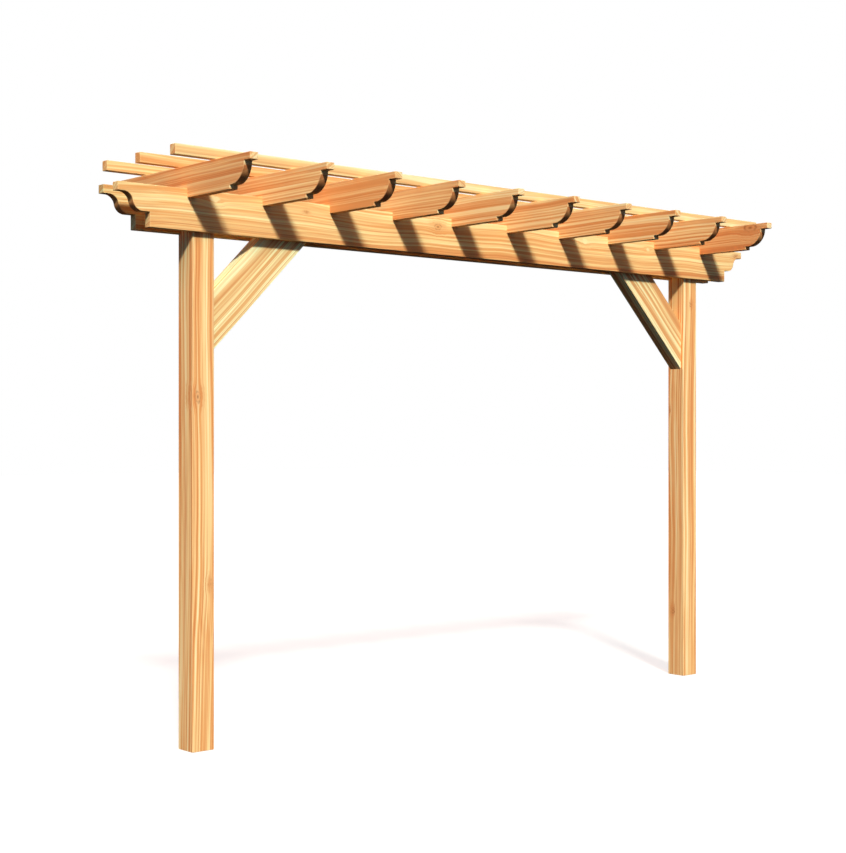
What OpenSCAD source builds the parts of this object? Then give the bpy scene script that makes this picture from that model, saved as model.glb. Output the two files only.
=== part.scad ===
// Two-post timber pergola, in millimetres.
// Two posts carry a pair of scroll-ended beams, with ten scroll-ended rafters
// notched over the beams, three slats on top and a knee brace at each post.
// The origin is the middle of the left post's foot: +X runs along the beams to
// the right post, +Y to the back and +Z up.

/* [Posts] */
// Side of a square post
post_w = 120; // [100:1:150]
// Distance between the post centres
post_span = 3515; // [2600:10:4400]
// Height from the ground to the underside of the beams
clear_h = 2420; // [2000:10:2800]

/* [Beams] */
// Thickness of a beam
beam_t = 45; // [36:1:60]
// Height of a beam
beam_h = 193; // [170:1:240]
// Clear space between the two beams, filled by post tongue and brace
beam_gap = 83; // [55:1:95]
// Reach of a beam past the post centre
beam_over = 468; // [380:1:700]
// Height of the blunt nose of a beam
beam_nose = 40; // [25:1:50]
// Flat under the nose of a beam, before the curve
beam_lip = 28; // [15:1:45]
// Length of the double curve under a beam end
ogee_run = 100; // [80:1:130]
// Fall of the double curve under a beam end
ogee_drop = 84; // [60:1:100]
// Flat between the double curve and the step
beam_shelf = 38; // [15:1:60]

/* [Rafters] */
// Thickness of a rafter
rafter_t = 45; // [36:1:60]
// Height of a rafter
rafter_h = 148; // [130:1:180]
// Length of a rafter
rafter_l = 1184; // [1000:2:1500]
// Distance between the centres of an end rafter and the next one
end_bay = 422; // [300:1:600]
// Depth that a rafter is notched over the beams
rafter_notch = 41; // [20:1:60]
// Height of the blunt nose of a rafter
rafter_nose = 33; // [20:1:45]
// Flat under the nose of a rafter, before the round
rafter_lip = 46; // [20:1:60]
// Radius of the quarter round under a rafter end
rafter_round = 96; // [60:1:100]
// Flat between the quarter round and the step
rafter_shelf = 17; // [10:1:40]

/* [Slats] */
// Width of a slat
slat_w = 44; // [30:1:60]
// Height of a slat
slat_h = 48; // [30:1:60]
// Distance between slat centres
slat_pitch = 298; // [150:1:400]
// Reach of a slat past the post centre
slat_over = 316; // [240:1:600]

/* [Braces] */
// Fall of a brace's lower edge from the beams to the post
brace_drop = 552; // [400:1:800]
// Width of a brace, square to its length
brace_w = 197; // [120:1:260]
// Space between a brace's top and the rafters
brace_clear = 12; // [5:1:40]

/* [Hidden] */
$fn = 96;
// Overshoot of a cutting shape past the face it cuts
cut = 5;
// Overlap of an arc with the flat or the arc that it runs into
bite = 0.02;
rafter_count = 10;
half_gap = beam_gap / 2;
beam_len = post_span + 2 * beam_over;
beam_top = clear_h + beam_h;
// Underside of the rafters
rafter_z = beam_top - rafter_notch;
slat_z = rafter_z + rafter_h;
slat_len = post_span + 2 * slat_over;
// Centre of the first rafter, which lies against the outside of the left post
first_x = -(post_w + rafter_t) / 2;
second_x = first_x + end_bay;
// The rafters between the end bays share the rest of the span evenly
rafter_pitch = (post_span - 2 * second_x) / (rafter_count - 3);
// Radius of both arcs of the double curve, which meet halfway
ogee_r = (ogee_run * ogee_run + ogee_drop * ogee_drop) / (4 * ogee_drop);
beam_wood = [0.86, 0.66, 0.42];
post_wood = [0.90, 0.71, 0.47];
rafter_wood = [0.80, 0.58, 0.36];
slat_wood = [0.84, 0.63, 0.40];

// Post with a shoulder for each beam and a tongue between them
module post(x) {
    translate([x, 0, 0]) {
        translate([-post_w / 2, -post_w / 2, 0])
            cube([post_w, post_w, clear_h]);
        translate([-post_w / 2, -half_gap, 0])
            cube([post_w, beam_gap, beam_top]);
    }
}

// Brace as drawn from the front, for a post centred on the upright axis
module brace_outline() {
    face = post_w / 2;
    low = clear_h - brace_drop;
    high = low + brace_w * sqrt(2);
    top = rafter_z - brace_clear;
    polygon([
        [face, low],
        [face + top - low, top],
        [face + max(top - high, 0), top],
        [face, min(high, top)]
    ]);
}

module brace() {
    translate([0, half_gap, 0])
        rotate([90, 0, 0])
            linear_extrude(beam_gap)
                brace_outline();
}

// Waste cut from under the left end of a beam, from its nose and underside:
// a cove running into a round, with a flat on either side and a step
module beam_waste() {
    lip_z = beam_h - beam_nose;
    step_z = lip_z - ogee_drop;
    curve_x = beam_lip + ogee_run;
    cove = [beam_lip, lip_z - ogee_r];
    round = [curve_x, step_z + ogee_r];
    difference() {
        polygon([
            [-cut, -cut],
            [curve_x + beam_shelf, -cut],
            [curve_x + beam_shelf, step_z],
            [curve_x, step_z],
            round,
            cove,
            [beam_lip, lip_z],
            [-cut, lip_z]
        ]);
        translate(round)
            circle(ogee_r + bite);
    }
    translate(cove)
        circle(ogee_r + bite);
}

module beam_outline() {
    difference() {
        square([beam_len, beam_h]);
        beam_waste();
        translate([beam_len, 0])
            mirror([1, 0])
                beam_waste();
    }
}

// Beam with its front face at y
module beam(y) {
    translate([-beam_over, y + beam_t, clear_h])
        rotate([90, 0, 0])
            linear_extrude(beam_t)
                beam_outline();
}

// Waste cut from under the front end of a rafter: a quarter round and a step
module rafter_waste() {
    lip_z = rafter_h - rafter_nose;
    curve_y = rafter_lip + rafter_round;
    step_z = lip_z - rafter_round;
    difference() {
        polygon([
            [-cut, -cut],
            [curve_y + rafter_shelf, -cut],
            [curve_y + rafter_shelf, step_z],
            [curve_y, step_z],
            [curve_y, lip_z],
            [-cut, lip_z]
        ]);
        translate([curve_y, lip_z])
            circle(rafter_round + bite);
    }
}

// Rafter as seen from its side, with a seat for each beam
module rafter_outline() {
    seat = half_gap + beam_t;
    difference() {
        translate([-rafter_l / 2, 0])
            square([rafter_l, rafter_h]);
        translate([-rafter_l / 2, 0])
            rafter_waste();
        translate([rafter_l / 2, 0])
            mirror([1, 0])
                rafter_waste();
        translate([-seat, -cut])
            square([beam_t, rafter_notch + cut]);
        translate([half_gap, -cut])
            square([beam_t, rafter_notch + cut]);
    }
}

// Centre of a rafter by its place in the row, counted from the left
function rafter_x(place) =
    place == 1 ? first_x
    : place == rafter_count ? post_span - first_x
    : second_x + (place - 2) * rafter_pitch;

module rafter(place) {
    color(rafter_wood)
        translate([rafter_x(place) - rafter_t / 2, 0, rafter_z])
            rotate([90, 0, 90])
                linear_extrude(rafter_t)
                    rafter_outline();
}

// Slat centred at y
module slat(y) {
    color(slat_wood)
        translate([-slat_over, y - slat_w / 2, slat_z])
            cube([slat_len, slat_w, slat_h]);
}

module left_post() {
    color(post_wood)
        post(0);
}

module right_post() {
    color(post_wood)
        post(post_span);
}

module left_brace() {
    color(post_wood)
        brace();
}

module right_brace() {
    color(post_wood)
        translate([post_span, 0, 0])
            mirror([1, 0, 0])
                brace();
}

module front_beam() {
    color(beam_wood)
        beam(-half_gap - beam_t);
}

module back_beam() {
    color(beam_wood)
        beam(half_gap);
}

module rafter_1() {
    rafter(1);
}

module rafter_2() {
    rafter(2);
}

module rafter_3() {
    rafter(3);
}

module rafter_4() {
    rafter(4);
}

module rafter_5() {
    rafter(5);
}

module rafter_6() {
    rafter(6);
}

module rafter_7() {
    rafter(7);
}

module rafter_8() {
    rafter(8);
}

module rafter_9() {
    rafter(9);
}

module rafter_10() {
    rafter(10);
}

module front_slat() {
    slat(-slat_pitch);
}

module middle_slat() {
    slat(0);
}

module back_slat() {
    slat(slat_pitch);
}

left_post();
right_post();
left_brace();
right_brace();
front_beam();
back_beam();
rafter_1();
rafter_2();
rafter_3();
rafter_4();
rafter_5();
rafter_6();
rafter_7();
rafter_8();
rafter_9();
rafter_10();
front_slat();
middle_slat();
back_slat();
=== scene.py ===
"""Two-post timber pergola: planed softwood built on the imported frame, in metres."""
import math
import random
from collections import namedtuple

import bmesh
import bpy
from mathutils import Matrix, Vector


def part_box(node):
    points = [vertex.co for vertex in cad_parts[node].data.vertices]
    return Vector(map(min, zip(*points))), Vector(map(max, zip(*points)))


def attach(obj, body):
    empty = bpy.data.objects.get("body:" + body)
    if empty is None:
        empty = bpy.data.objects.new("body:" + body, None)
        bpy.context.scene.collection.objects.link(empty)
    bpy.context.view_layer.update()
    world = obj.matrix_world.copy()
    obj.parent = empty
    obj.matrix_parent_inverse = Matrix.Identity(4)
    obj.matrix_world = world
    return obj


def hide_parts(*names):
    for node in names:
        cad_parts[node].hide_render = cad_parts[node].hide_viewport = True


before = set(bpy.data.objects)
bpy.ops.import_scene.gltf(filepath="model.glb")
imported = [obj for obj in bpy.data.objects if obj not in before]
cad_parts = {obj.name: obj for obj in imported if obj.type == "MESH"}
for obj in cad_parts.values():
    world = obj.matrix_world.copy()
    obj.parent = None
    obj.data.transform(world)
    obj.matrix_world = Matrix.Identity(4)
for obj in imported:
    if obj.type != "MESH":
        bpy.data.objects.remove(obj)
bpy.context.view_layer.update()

# Camera, solved from the photograph's straight edges: a level camera in front of the left post
IMAGE_H = 853
FOCAL_PX = 1591.8
HORIZON_PX = 428.6
CAMERA_AT = Vector((-4.090, -6.347, 1.506))
CAMERA_YAW = math.radians(40.905)
SENSOR_MM = 36.0

# Light: a soft key from the front left, broad ones from the left and from behind, and an even fill
KEY_FROM = Vector((-0.60, -1.0, 0.97))
KEY_STRENGTH = 4.35
KEY_COLOUR = (0.930, 0.965, 0.93)
KEY_SPREAD = math.radians(7.0)
LEFT_FROM = Vector((-0.62, -0.5, 1.0))
LEFT_STRENGTH = 1.25
LEFT_COLOUR = (1.0, 0.38, 0.23)
LEFT_SPREAD = math.radians(25.0)
BACK_FROM = Vector((0.8, 1.0, 0.52))
BACK_STRENGTH = 1.8
BACK_COLOUR = (1.0, 0.80, 0.55)
BACK_SPREAD = math.radians(25.0)
FILL = 0.20
FILL_COLOUR = (0.70, 1.06, 1.60, 1.0)
WHITE = (1.0, 1.0, 1.0, 1.0)

# Floor: pale to the camera, darker to the light that it throws back
FLOOR_SIZE = 80.0
FLOOR_PALE = (0.38, 0.36, 0.335, 1.0)
FLOOR_GLOW = 0.68
FLOOR_BOUNCE = (0.02, 0.02, 0.02, 1.0)

# Timber: eased edges, and the angles that tell an edge from a flat
ARRIS = 0.0025
ARRIS_STEPS = 2
SHARP = math.radians(35.0)
FLAT = math.radians(0.5)
JOIN = 1e-5

# Ends and scrolls: how far a face turns along the grain to count as one, and the darker tone of the scroll
# faces that face downward, partly sawn wood and partly painted shade
END_FACING = 0.6
SCROLL_FACING = 0.15
SCROLLED = ("beam_timber", "rafter_timber")
SAWN_TONE_AND_SHADE = 0.9

# Colours of the wood, from palest to darkest
CREAM = (0.980, 0.840, 0.450, 1.0)
PALE = (0.960, 0.690, 0.300, 1.0)
AMBER = (0.800, 0.365, 0.114, 1.0)
LATE = (0.610, 0.195, 0.056, 1.0)
KNOT = (0.320, 0.110, 0.035, 1.0)

# Rings: the width of one, where the rim begins and ends, and where a ring's dark line starts and peaks
RING = 0.016
RIM = (0.280, 0.315)
LINE_START = 0.55
LINE_PEAK = 0.93
LINE_SHIFT = 1.5
LINE_RANGE = (0.40, 0.72)

# Noises in the log: cells for each metre in the first direction, and in the other two
DRIFT = (0.85, 1.5)
SWING = (1.5, 1.05)
STREAK = (0.9, 150.0)
FIBRE = (7.0, 520.0)
FIBRE_DETAIL = 3.0
FIBRE_CRISP = 0.6

# Noises in the rings: cells for each metre along the log, cells for each ring, and the layer of the noise
BROAD = (0.30, 1.05, 0.0)
FINE = (0.45, 2.6, 3.0)
LINES = (0.5, 0.55, 7.0)

# Stripes: the share of each noise, and the part of their sum that runs from pale to orange
BROAD_SHARE = 0.45
FINE_SHARE = 0.37
STREAK_SHARE = 0.18
STRIPE_RANGE = (0.385, 0.615)

# Stripes beyond those: where they turn to cream, and where to a deeper orange
CREAM_RANGE = (-0.5, 0.0)
DEEP_RANGE = (1.0, 1.5)

# How far each feature takes the colour towards its own
DEEP_STRIPE = 0.6
LATE_LINE = 0.62
KNOT_ROUND = 0.40
KNOT_CORE = 0.40
KNOT_PALE = 0.58
FIBRE_RANGE = (0.28, 0.42)
FIBRE_DARK = 0.22
# The tone below also darkens the downward-facing scroll faces as painted shade
TONED_AND_SHADED = 0.35
# The eased edges are painted paler: partly wear, partly a painted highlight
EDGE_WEAR_AND_HIGHLIGHT = 0.25

# Surface: roughness, gloss and relief
ROUGH = 0.50
ROUGH_FIBRE = 0.22
ROUGH_END = 0.15
GLOSS = 0.25
RELIEF = 0.35
RELIEF_DEPTH = 0.0008
RELIEF_LINE = 0.35
RELIEF_KNOT = 0.25

# Knots: their depth, how much a distance along the grain counts, and the push on the grain near them
KNOT_DEPTH = 0.06
KNOT_ALONG = 0.55
KNOT_PUSH = -0.85

# Knots, for each radius: cells and size of their waver, fading edge, turn of the rings, and reach
KNOT_CELLS = 0.7
KNOT_WAVER = 1.6
KNOT_FADE = (0.7, 1.3)
KNOT_WAVES = 5.2
KNOT_REACH = 4.0


class Tree:
    """A shader node tree, written as plain calls that return sockets."""

    def __init__(self, tree):
        self.tree = tree

    def node(self, kind, **settings):
        made = self.tree.nodes.new(kind)
        for name, value in settings.items():
            setattr(made, name, value)
        return made

    def feed(self, socket, value):
        if isinstance(value, bpy.types.NodeSocket):
            self.tree.links.new(value, socket)
        else:
            socket.default_value = value

    def math(self, operation, *values, clamp=False):
        made = self.node("ShaderNodeMath", operation=operation, use_clamp=clamp)
        for socket, value in zip(made.inputs, values):
            self.feed(socket, value)
        return made.outputs[0]

    def times(self, a, b):
        return self.math("MULTIPLY", a, b)

    def plus(self, a, b):
        return self.math("ADD", a, b)

    def minus(self, a, b):
        return self.math("SUBTRACT", a, b)

    def most(self, a, b):
        return self.math("MAXIMUM", a, b)

    def length(self, a, b):
        return self.math("SQRT", self.plus(self.math("POWER", a, 2.0), self.math("POWER", b, 2.0)))

    def remap(self, value, low, high, to_low=0.0, to_high=1.0):
        made = self.node("ShaderNodeMapRange", interpolation_type="SMOOTHSTEP")
        for socket, given in zip(made.inputs, (value, low, high, to_low, to_high)):
            self.feed(socket, given)
        return made.outputs[0]

    def join(self, x, y, z):
        made = self.node("ShaderNodeCombineXYZ")
        for socket, value in zip(made.inputs, (x, y, z)):
            self.feed(socket, value)
        return made.outputs[0]

    def split(self, vector):
        made = self.node("ShaderNodeSeparateXYZ")
        self.feed(made.inputs[0], vector)
        return made.outputs

    def noise(self, vector, detail=2.0, roughness=0.5):
        made = self.node("ShaderNodeTexNoise", noise_dimensions="3D")
        self.feed(made.inputs["Vector"], vector)
        made.inputs["Scale"].default_value = 1.0
        made.inputs["Detail"].default_value = detail
        made.inputs["Roughness"].default_value = roughness
        return made.outputs["Fac"]

    def mix(self, factor, a, b, blend="MIX"):
        made = self.node("ShaderNodeMix", data_type="RGBA", blend_type=blend)
        self.feed(made.inputs[0], factor)
        self.feed(made.inputs[6], a)
        self.feed(made.inputs[7], b)
        return made.outputs[2]

    def attribute(self, name):
        return self.node("ShaderNodeAttribute", attribute_name=name).outputs


def stretched(tree, first, second, third, cells):
    """Coordinates for a noise that has its own number of cells in the first direction."""
    return tree.join(tree.times(first, cells[0]), tree.times(second, cells[1]), tree.times(third, cells[1]))


def ring_noise(tree, years, along, cells, detail=2.0):
    """A noise that goes with the rings and changes slowly along the log."""
    along_cells, ring_cells, layer = cells
    place = tree.join(tree.times(years, ring_cells), tree.times(along, along_cells), layer)
    return tree.noise(place, detail)


def knot(tree, log, place, axis, radius):
    """A branch that runs in from one face as far as the heart of the piece.
    Returns its core, its dark rings, how near it is, and how far the grain is pushed aside."""
    off = tree.times(tree.minus(log[0], place[0]), KNOT_ALONG)
    aside = tree.minus(log[3 - axis], place[3 - axis])
    gap = tree.length(off, aside)
    wave = tree.math("COSINE", tree.times(gap, KNOT_WAVES / radius))
    waver = tree.noise(tree.join(*(tree.times(value, KNOT_CELLS / radius) for value in log)))
    gap = tree.math("MULTIPLY_ADD", tree.minus(waver, 0.5), radius * KNOT_WAVER, gap)
    deep = tree.math("ABSOLUTE", tree.minus(log[axis], place[axis]))
    inside = tree.math("LESS_THAN", deep, KNOT_DEPTH)
    fade = [radius * share for share in KNOT_FADE]
    core = tree.times(tree.remap(gap, *fade, 1.0, 0.0), inside)
    rings = tree.times(tree.math("MULTIPLY_ADD", wave, 0.5, 0.5), core)
    near = tree.times(tree.remap(gap, 0.0, radius * KNOT_REACH, 1.0, 0.0), inside)
    push = tree.times(tree.times(aside, near), KNOT_PUSH)
    return core, rings, near, push


def softwood(name, tint, contrast, wander, end_tone, rim_tone, knots):
    """Planed softwood with rings, stripes, knots and end grain, read from the piece's log coordinates."""
    material = bpy.data.materials.new(name)
    material.use_nodes = True
    tree = Tree(material.node_tree)
    shader = material.node_tree.nodes["Principled BSDF"]
    log = tree.split(tree.attribute("log")["Vector"])
    along, across, depth = log
    edge = tree.attribute("edge")["Fac"]
    end = tree.attribute("end")["Fac"]
    # The tone holds each board's own tone, and painted shade on the scroll faces that face downward
    tone = tree.attribute("tone")["Fac"]

    # The log isn't quite straight, so its rings wander, and they bend round the knots
    drift = tree.noise(stretched(tree, along, across, depth, DRIFT))
    swing = tree.noise(stretched(tree, depth, along, across, SWING))
    lean = tree.times(tree.minus(drift, 0.5), wander)
    sway = tree.times(tree.minus(swing, 0.5), wander)
    turned = [None, tree.plus(across, lean), tree.plus(depth, sway)]
    core = 0.0
    rings = 0.0
    near = 0.0
    bleached = 0.0
    for place, axis, size, dark in knots:
        more_core, more_rings, more_near, push = knot(tree, log, place, axis, size)
        if dark:
            core = tree.most(core, more_core)
            rings = tree.most(rings, tree.times(more_rings, dark))
            near = tree.most(near, more_near)
        else:
            bleached = tree.most(bleached, more_core)
        turned[3 - axis] = tree.plus(turned[3 - axis], push)
    radius = tree.length(turned[1], turned[2])
    years = tree.math("DIVIDE", radius, RING)

    # Stripes of pale and orange wood follow the rings
    broad = ring_noise(tree, years, along, BROAD, 1.0)
    fine = ring_noise(tree, years, along, FINE)
    streak = tree.noise(stretched(tree, along, turned[1], turned[2], STREAK), 1.0)
    stripe = tree.plus(tree.times(broad, BROAD_SHARE), tree.times(fine, FINE_SHARE))
    stripe = tree.plus(stripe, tree.times(streak, STREAK_SHARE))
    stripe = tree.remap(stripe, *STRIPE_RANGE, 0.5 - contrast / 2, 0.5 + contrast / 2)
    # The tone shifts the stripes, which also darkens the downward-facing scroll faces as painted shade
    stripe = tree.math("MULTIPLY_ADD", end, end_tone, tree.plus(stripe, tone))
    stripe = tree.plus(stripe, tree.remap(radius, *RIM, 0.0, rim_tone))

    # Each ring ends in a thin dark line, stronger in some years than in others
    phase = tree.math("FRACT", tree.plus(years, tree.times(broad, LINE_SHIFT)))
    rise = tree.remap(phase, LINE_START, LINE_PEAK)
    fall = tree.remap(phase, LINE_PEAK, 1.0, 1.0, 0.0)
    strength = tree.remap(ring_noise(tree, years, along, LINES), *LINE_RANGE)
    late = tree.times(tree.times(rise, fall), strength)
    fibre = tree.noise(stretched(tree, along, across, depth, FIBRE), FIBRE_DETAIL, FIBRE_CRISP)

    colour = tree.mix(stripe, PALE, AMBER)
    colour = tree.mix(tree.remap(stripe, *CREAM_RANGE, 1.0, 0.0), colour, CREAM)
    colour = tree.mix(tree.remap(stripe, *DEEP_RANGE, 0.0, DEEP_STRIPE), colour, LATE)
    colour = tree.mix(tree.times(late, LATE_LINE), colour, LATE)
    colour = tree.mix(tree.times(near, KNOT_ROUND), colour, LATE)
    colour = tree.mix(tree.times(core, KNOT_CORE), colour, AMBER)
    colour = tree.mix(rings, colour, KNOT)
    colour = tree.mix(tree.times(bleached, KNOT_PALE), colour, CREAM)
    colour = tree.mix(tree.remap(fibre, *FIBRE_RANGE, FIBRE_DARK, 0.0), colour, LATE)
    # Towards the late wood by the board's own tone, and by painted shade on the downward-facing scroll
    # faces
    colour = tree.mix(tree.math("MULTIPLY", tone, TONED_AND_SHADED, clamp=True), colour, LATE)
    # Eased edges paler: partly wear, partly a painted highlight
    colour = tree.mix(tree.times(edge, EDGE_WEAR_AND_HIGHLIGHT), colour, PALE)
    colour = tree.mix(1.0, colour, (*tint, 1.0), "MULTIPLY")
    tree.feed(shader.inputs["Base Color"], colour)

    rough = tree.math("MULTIPLY_ADD", fibre, ROUGH_FIBRE, ROUGH)
    tree.feed(shader.inputs["Roughness"], tree.math("MULTIPLY_ADD", end, ROUGH_END, rough, clamp=True))
    shader.inputs["Specular IOR Level"].default_value = GLOSS

    height = tree.math("MULTIPLY_ADD", late, RELIEF_LINE, fibre)
    height = tree.minus(height, tree.times(core, RELIEF_KNOT))
    bump = tree.node("ShaderNodeBump")
    bump.inputs["Strength"].default_value = RELIEF
    bump.inputs["Distance"].default_value = RELIEF_DEPTH
    tree.feed(bump.inputs["Height"], height)
    tree.feed(shader.inputs["Normal"], bump.outputs["Normal"])
    return material


def to_log(node, point):
    """A point of a piece in its log coordinates: along the grain, then across it from the pith."""
    piece = laid[node]
    low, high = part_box(node)
    off = point - (low + high) / 2
    depth = piece.grain.cross(piece.face)
    return Vector((
        off.dot(piece.grain) + piece.start,
        off.dot(piece.face) - piece.pith[0],
        off.dot(depth) - piece.pith[1],
    ))


def timber(node, material):
    """A piece of timber in the place and outline of a CAD node, with eased edges.
    The sawn faces of a scroll that face downward are darker: partly the tone of sawn wood, partly painted
    shade."""
    slot = laid[node].slot
    grain = laid[node].grain
    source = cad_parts[node].data
    mesh = bpy.data.meshes.new(node + "_timber")
    mesh.from_pydata([v.co for v in source.vertices], [], [p.vertices for p in source.polygons])
    work = bmesh.new()
    work.from_mesh(mesh)
    edge_layer = work.faces.layers.float.new("edge")
    end_layer = work.faces.layers.float.new("end")
    tone_and_shade_layer = work.faces.layers.float.new("tone")
    log_layer = work.verts.layers.float_vector.new("log")
    bmesh.ops.remove_doubles(work, verts=work.verts, dist=JOIN)
    bmesh.ops.dissolve_limit(work, angle_limit=FLAT, verts=work.verts, edges=work.edges)
    outer = [e for e in work.edges if e.is_manifold and e.calc_face_angle_signed(0.0) > SHARP]
    eased = bmesh.ops.bevel(
        work, geom=outer, offset=ARRIS, offset_type="OFFSET", segments=ARRIS_STEPS,
        profile=0.5, affect="EDGES", clamp_overlap=True,
    )
    # The eased faces are marked for their paler colour, partly wear and partly a painted highlight
    for f in eased["faces"]:
        f[edge_layer] = 1.0
    for f in work.faces:
        f.smooth = True
        endways = abs(f.normal.dot(grain))
        # Scroll faces that face downward are darkened: partly the tone of sawn wood, partly painted shade
        if slot in SCROLLED and f.normal.z < -SCROLL_FACING and endways > SCROLL_FACING:
            f[tone_and_shade_layer] = SAWN_TONE_AND_SHADE
        elif endways > END_FACING:
            f[end_layer] = 1.0
        else:
            f[tone_and_shade_layer] = tones.get(node, 0.0)
    for e in work.edges:
        if e.is_manifold and e.calc_face_angle(0.0) > SHARP:
            e.smooth = False
    for v in work.verts:
        v[log_layer] = to_log(node, v.co)
    work.to_mesh(mesh)
    work.free()
    piece = bpy.data.objects.new(node + "_timber", mesh)
    bpy.context.scene.collection.objects.link(piece)
    mesh.materials.append(material)
    normals = piece.modifiers.new("even_normals", "WEIGHTED_NORMAL")
    normals.keep_sharp = True
    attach(piece, "root")
    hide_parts(node)
    return piece


# How each piece lies in its log: slot, direction of the grain, the first direction across it,
# the pith's place across the grain from the middle of the piece, and the place along the log
Laid = namedtuple("Laid", "slot grain face pith start")
X = Vector((1.0, 0.0, 0.0))
Y = Vector((0.0, 1.0, 0.0))
Z = Vector((0.0, 0.0, 1.0))
RISING = (X + Z).normalized()
FALLING = (Z - X).normalized()
laid = {
    "left_post": Laid("post_timber", Z, Y, (0.20, 0.23), 23.8),
    "right_post": Laid("post_timber", Z, Y, (0.18, 0.24), 44.9),
    "left_brace": Laid("brace_timber", RISING, Y, (0.12, 0.22), 35.5),
    "right_brace": Laid("brace_timber", FALLING, Y, (0.13, -0.20), 12.3),
    "front_beam": Laid("beam_timber", X, Y, (0.10, 0.21), 41.0),
    "back_beam": Laid("beam_timber", X, Y, (-0.12, -0.19), 27.0),
}

# Rafters and slats: the step from one to the next along the log, and how far off their pith may lie
RAFTERS = 10
RAFTER_STEP = 1.83
RAFTER_PITH = (0.12, 0.22)
SLATS = ("front_slat", "middle_slat", "back_slat")
SLAT_STEP = 6.3
SLAT_PITH = (0.10, 0.16)
NEAR_PITH = (0.08, 0.14)
SEED = 7
chance = random.Random(SEED)


def either_side(low, high):
    """A chance distance between two limits, on one side or the other."""
    return chance.uniform(low, high) * chance.choice((-1, 1))


for place in range(1, RAFTERS + 1):
    pith = (either_side(*NEAR_PITH), either_side(*RAFTER_PITH))
    laid["rafter_%d" % place] = Laid("rafter_timber", Y, X, pith, RAFTER_STEP * place)
for place, name in enumerate(SLATS):
    pith = (chance.uniform(*NEAR_PITH), either_side(*SLAT_PITH))
    laid[name] = Laid("slat_timber", X, Y, pith, SLAT_STEP * place)

# Boards that are more orange than the rest of their slot, or paler where the number is negative
tones = {
    "left_brace": -0.27,
    "front_beam": -0.11,
    "rafter_1": 0.33,
    "rafter_3": -0.12,
    "rafter_4": 0.12,
    "rafter_10": 0.58,
    "front_slat": -0.50,
    "back_slat": -0.15,
}

# Knots: piece, a point on its surface, the log axis that the branch runs along, radius,
# and how dark it is, or 0 for a pale one
knots = (
    ("left_post", (-0.030, -0.060, 1.654), 1, 0.014, 0.75),
    ("left_post", (0.042, -0.060, 0.778), 1, 0.011, 0.25),
    ("right_post", (3.523, -0.060, 2.268), 1, 0.009, 0.75),
    ("right_post", (3.455, 0.052, 1.620), 2, 0.008, 0.75),
    ("right_post", (3.455, 0.022, 0.394), 2, 0.010, 0.75),
    ("front_beam", (0.579, -0.0865, 2.566), 1, 0.006, 0.75),
    ("front_beam", (1.438, -0.0865, 2.564), 1, 0.014, 0.75),
    ("front_beam", (3.930, -0.0865, 2.584), 1, 0.010, 0.75),
    ("back_beam", (0.900, 0.0865, 2.500), 1, 0.012, 0.75),
    ("back_beam", (2.730, 0.0865, 2.540), 1, 0.009, 0.75),
    ("rafter_10", (3.575, -0.470, 2.700), 1, 0.022, 0.95),
    ("rafter_3", (0.722, 0.180, 2.660), 1, 0.009, 0.75),
    ("rafter_6", (1.938, 0.310, 2.640), 1, 0.008, 0.75),
    ("front_beam", (0.050, -0.0865, 2.577), 1, 0.014, 0.0),
    ("front_beam", (2.556, -0.0865, 2.577), 1, 0.013, 0.0),
    ("front_beam", (3.099, -0.0865, 2.566), 1, 0.009, 0.0),
)

# Looks of the slots: tint, how far the stripes differ, how far the log wanders in metres,
# and the tones of the end grain and of the rim, the wood furthest from the pith
looks = {
    "post_timber": ((1.02, 1.00, 1.00), 1.80, 0.045, -0.2, 0.0),
    "brace_timber": ((0.99, 1.16, 1.30), 1.7, 0.030, -0.2, 0.0),
    "beam_timber": ((0.98, 1.03, 1.03), 1.25, 0.075, -0.2, 0.60),
    "rafter_timber": ((0.950, 0.92, 0.93), 1.55, 0.045, -0.3, 0.0),
    "slat_timber": ((0.97, 0.98, 0.98), 1.1, 0.040, 0.15, 0.0),
}
timbers = {slot: [] for slot in looks}
for slot, look in looks.items():
    branches = [(to_log(n, Vector(p)), *how) for n, p, *how in knots if laid[n].slot == slot]
    material = softwood(slot, *look, branches)
    for node in laid:
        if laid[node].slot == slot:
            timbers[slot].append(timber(node, material))


def make_floor():
    """A wide pale floor that keeps the shadow and throws little light back up."""
    half = FLOOR_SIZE / 2
    corners = [(-half, -half, 0), (half, -half, 0), (half, half, 0), (-half, half, 0)]
    mesh = bpy.data.meshes.new("floor")
    mesh.from_pydata(corners, [], [(0, 1, 2, 3)])
    floor = bpy.data.objects.new("floor", mesh)
    bpy.context.scene.collection.objects.link(floor)
    material = bpy.data.materials.new("pale_floor")
    material.use_nodes = True
    material.node_tree.nodes.clear()
    tree = Tree(material.node_tree)
    seen = tree.node("ShaderNodeBsdfDiffuse")
    seen.inputs["Color"].default_value = FLOOR_PALE
    glow = tree.node("ShaderNodeEmission")
    glow.inputs["Color"].default_value = WHITE
    glow.inputs["Strength"].default_value = FLOOR_GLOW
    pale = tree.node("ShaderNodeAddShader")
    tree.feed(pale.inputs[0], seen.outputs[0])
    tree.feed(pale.inputs[1], glow.outputs[0])
    bounce = tree.node("ShaderNodeBsdfDiffuse")
    bounce.inputs["Color"].default_value = FLOOR_BOUNCE
    choice = tree.node("ShaderNodeMixShader")
    tree.feed(choice.inputs[0], tree.node("ShaderNodeLightPath").outputs["Is Camera Ray"])
    tree.feed(choice.inputs[1], bounce.outputs[0])
    tree.feed(choice.inputs[2], pale.outputs[0])
    tree.feed(tree.node("ShaderNodeOutputMaterial").inputs["Surface"], choice.outputs[0])
    mesh.materials.append(material)


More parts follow.
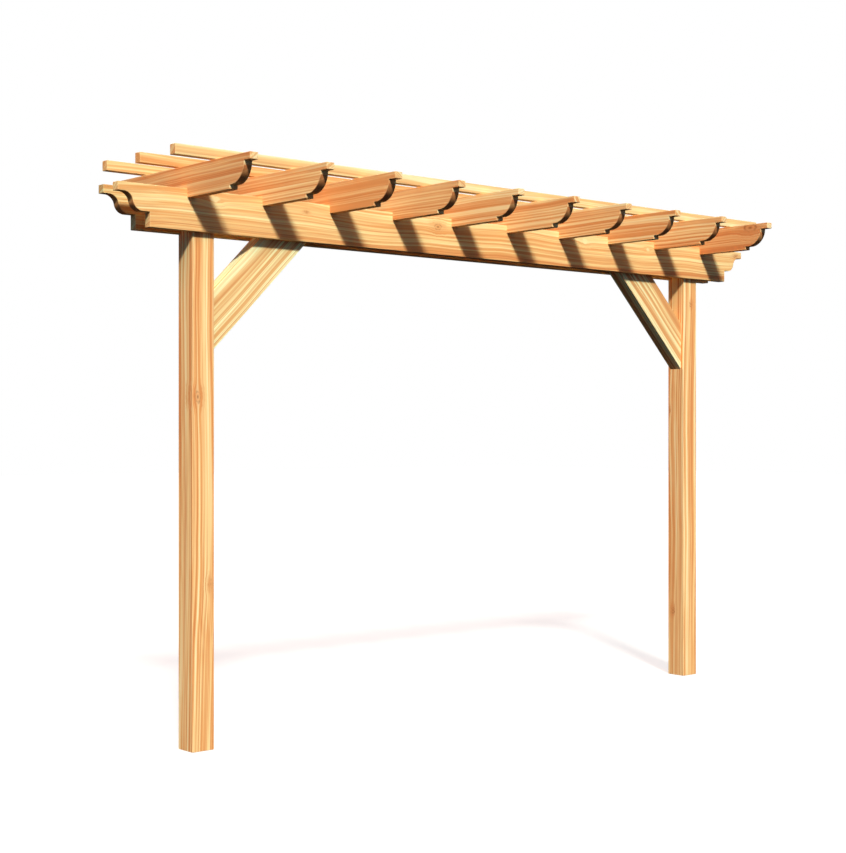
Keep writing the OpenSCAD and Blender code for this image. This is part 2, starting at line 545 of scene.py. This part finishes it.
def make_world():
    """White behind the object, and an even cool fill on it."""
    world = bpy.data.worlds.new("studio")
    bpy.context.scene.world = world
    world.use_nodes = True
    world.node_tree.nodes.clear()
    tree = Tree(world.node_tree)
    path = tree.node("ShaderNodeLightPath").outputs
    shown = tree.most(path["Is Camera Ray"], path["Is Transmission Ray"])
    fill = tree.node("ShaderNodeBackground")
    fill.inputs["Strength"].default_value = FILL
    fill.inputs["Color"].default_value = FILL_COLOUR
    white = tree.node("ShaderNodeBackground")
    white.inputs["Color"].default_value = WHITE
    choice = tree.node("ShaderNodeMixShader")
    tree.feed(choice.inputs[0], shown)
    tree.feed(choice.inputs[1], fill.outputs[0])
    tree.feed(choice.inputs[2], white.outputs[0])
    tree.feed(tree.node("ShaderNodeOutputWorld").inputs["Surface"], choice.outputs[0])


def make_sun(name, come_from, strength, spread, colour):
    lamp = bpy.data.lights.new(name, "SUN")
    lamp.color = colour
    lamp.energy = strength
    lamp.angle = spread
    holder = bpy.data.objects.new(name, lamp)
    holder.rotation_mode = "QUATERNION"
    holder.rotation_quaternion = (-come_from).to_track_quat("-Z", "Y")
    bpy.context.scene.collection.objects.link(holder)
    return holder


def linked(holder, role, pieces, state):
    """Say which pieces a lamp lights, or which ones block it."""
    group = bpy.data.collections.new(holder.name + "_" + role)
    for piece in pieces:
        group.objects.link(piece)
    for entry in group.collection_objects:
        entry.light_linking.link_state = state
    setattr(holder.light_linking, role + "_collection", group)


def make_pair(ending, state, key_pieces, left_pieces, passed):
    """A key lamp and a left lamp that light the given pieces, or all others, and pass through some."""
    key = make_sun("key" + ending, KEY_FROM, KEY_STRENGTH, KEY_SPREAD, KEY_COLOUR)
    left = make_sun("left" + ending, LEFT_FROM, LEFT_STRENGTH, LEFT_SPREAD, LEFT_COLOUR)
    linked(key, "receiver", key_pieces, state)
    linked(left, "receiver", left_pieces, state)
    for lamp in (key, left):
        linked(lamp, "blocker", passed, "EXCLUDE")


def make_lamps():
    """The key and left lamps come twice: once for the posts and braces, once for all the rest.
    Neither pair is stopped by the slats, and the pair on the posts and braces isn't stopped by rafters
    or braces. The left lamp leaves out the back beam, which keeps the space between the beams dark."""
    slats = timbers["slat_timber"]
    under = timbers["post_timber"] + timbers["brace_timber"]
    over = slats + timbers["rafter_timber"] + timbers["brace_timber"]
    back_beam = [piece for piece in timbers["beam_timber"] if piece.name.startswith("back")]
    make_pair("", "EXCLUDE", under, under + back_beam, slats)
    make_pair("_under", "INCLUDE", under, under, over)
    make_sun("back", BACK_FROM, BACK_STRENGTH, BACK_SPREAD, BACK_COLOUR)


def make_camera():
    data = bpy.data.cameras.new("camera")
    data.sensor_width = SENSOR_MM
    data.lens = SENSOR_MM * FOCAL_PX / IMAGE_H
    data.shift_y = (HORIZON_PX - IMAGE_H / 2) / IMAGE_H
    camera = bpy.data.objects.new("camera", data)
    camera.location = CAMERA_AT
    camera.rotation_euler = (math.pi / 2, 0.0, -CAMERA_YAW)
    bpy.context.scene.collection.objects.link(camera)
    bpy.context.scene.camera = camera


make_floor()
make_world()
make_lamps()
make_camera()
bpy.context.scene.view_settings.view_transform = "Standard"
